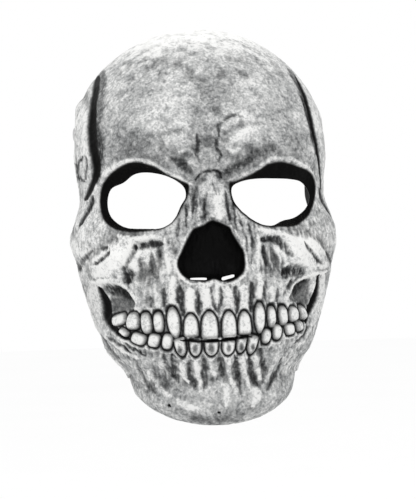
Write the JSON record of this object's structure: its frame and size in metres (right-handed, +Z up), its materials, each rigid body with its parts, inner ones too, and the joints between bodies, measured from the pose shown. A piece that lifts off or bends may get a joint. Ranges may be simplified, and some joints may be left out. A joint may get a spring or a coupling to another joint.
{
  "type": "latex halloween mask",
  "caption": "Moulded latex skull mask for the face and brow, open at the back, with cut eye holes and nostril slits and an adjustable elastic strap riveted at the temples.",
  "frame": {"origin": "The middle of the wearer's head at eye height, in the plane between the strap's two rivets: x on the mask's middle line, z at the middle of the eye holes. The mask is held up by the wearer's head.", "axes": "+Z is up, towards the crown. The face looks towards -Y, so +Y points to the back of the head. +X is the wearer's left, the viewer's right."},
  "size_m": [0.1788, 0.2136, 0.2654],
  "materials": {
    "latex": "satin grey-white latex with fine dark speckle, black wash in the grooves and black sockets",
    "foam": "open-cell charcoal foam",
    "canvas": "glued black canvas patch",
    "rivet_metal": "dark burnished steel rivet",
    "webbing": "ribbed black polyester webbing",
    "ring_wire": "nickel-plated wire",
    "elastic": "woven black elastic",
    "thread": "dark sewing thread",
    "slider_plastic": "moulded black plastic"
  },
  "bodies": {
    "mask": {"face_skin": "latex", "forehead_pad": "foam", "anchor_patch_left": "canvas", "anchor_patch_right": "canvas", "rivet_cap_left": "rivet_metal", "rivet_cap_right": "rivet_metal", "rivet_post_left": "rivet_metal", "rivet_post_right": "rivet_metal"},
    "strap": {"strap_tab": "webbing", "strap_ring": "ring_wire", "head_strap": "elastic", "strap_return": "elastic", "tab_stitching": "thread"},
    "slider": {"strap_slider": "slider_plastic", "strap_end": "elastic", "strap_end_stitching": "thread"}
  },
  "joints": [
    {"name": "strap_swing", "type": "hinge", "parent": "mask", "child": "strap", "pos_m": [0, -0.001, 0.05], "axis": [1, 0, 0], "range_deg": [-80, 20]},
    {"name": "slider_slide", "type": "slide", "parent": "strap", "child": "slider", "axis": [-0.2419, -0.9703, 0], "range_m": [0, 0.022], "deforming": ["strap_return"]}
  ]
}
